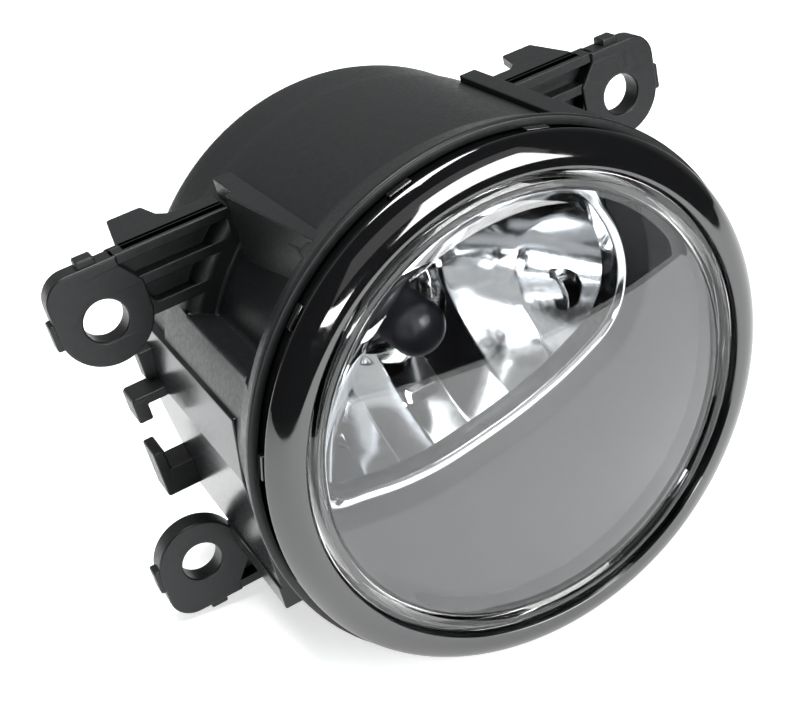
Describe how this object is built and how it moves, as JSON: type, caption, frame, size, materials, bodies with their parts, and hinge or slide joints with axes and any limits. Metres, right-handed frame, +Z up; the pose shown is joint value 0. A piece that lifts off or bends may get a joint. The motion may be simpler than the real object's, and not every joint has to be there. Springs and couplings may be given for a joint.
{
  "type": "fog light",
  "caption": "Round car fog light: moulded housing with mounting ears, push-fit bezel ring, clear lens, aimable reflector and a twist-out bulb.",
  "frame": {"origin": "on the lamp axis, in the plane of the front faces of the mounting ears", "axes": "-Y is the way the light leaves, +Z up on the car, +X to the right seen from in front of the lamp"},
  "size_m": [0.1198, 0.1002, 0.0926],
  "materials": {
    "black_plastic": "moulded, fine texture, worn satin on edges",
    "gloss_black": "polished",
    "clear_lens": "clear, polished",
    "sealant": "cured sealant",
    "bezel_gloss": "polished dark grey",
    "bright_trim": "bright",
    "nylon": "natural nylon",
    "black_rubber": "matte",
    "steel": "plain steel",
    "mirror_coat": "vacuum metallised",
    "bulb_glass": "clear",
    "bulb_coating": "dark glossy coating",
    "tungsten": "drawn wire",
    "base_plastic": "moulded",
    "terminal_tin": "tinned"
  },
  "bodies": {
    "housing": {"housing": "black_plastic", "trim_ring": "gloss_black", "lens": "clear_lens", "lens_sealant": "sealant", "inner_bezel": "bezel_gloss", "aperture_trim": "bright_trim", "pivot_socket_right": "nylon", "pivot_socket_left": "nylon", "rear_boot": "black_rubber", "boot_clamp": "steel", "breather_cap": "black_rubber", "adjuster_bush": "nylon"},
    "reflector": {"reflector": "mirror_coat", "pivot_pin_right": "steel", "pivot_pin_left": "steel"},
    "adjuster_screw": {"adjuster_screw": "nylon", "screw_retainer": "steel"},
    "adjuster_nut": {"adjuster_nut": "nylon"},
    "bulb": {"bulb_glass": "bulb_glass", "bulb_coating": "bulb_coating", "filament": "tungsten", "lead_wire_rear": "tungsten", "lead_wire_front": "tungsten", "bulb_collar": "steel", "bulb_base": "base_plastic", "bulb_seal": "black_rubber", "terminal_left": "terminal_tin", "terminal_right": "terminal_tin"}
  },
  "joints": [
    {"name": "adjuster_turn", "type": "hinge", "parent": "housing", "child": "adjuster_screw", "pos_m": [0, 0.0249, -0.032], "axis": [0, 1, 0], "range_deg": [-216, 216]},
    {"name": "adjuster_slide", "type": "slide", "parent": "housing", "child": "adjuster_nut", "axis": [0, 1, 0], "range_m": [-0.00125, 0.00125]},
    {"name": "reflector_tilt", "type": "hinge", "parent": "housing", "child": "reflector", "pos_m": [0, -0.0096, 0], "axis": [1, 0, 0], "range_deg": [-2.8, 2.8], "deforming": ["rear_boot"]},
    {"name": "bulb_twist", "type": "hinge", "parent": "reflector", "child": "bulb", "pos_m": [0, 0.035, 0], "axis": [0, -1, 0], "range_deg": [0, 35]}
  ],
  "couplings": [
    {"joint": "adjuster_turn", "follows": "reflector_tilt", "ratio": -76.969},
    {"joint": "adjuster_slide", "follows": "reflector_tilt", "m_per_rad": 0.0245}
  ]
}
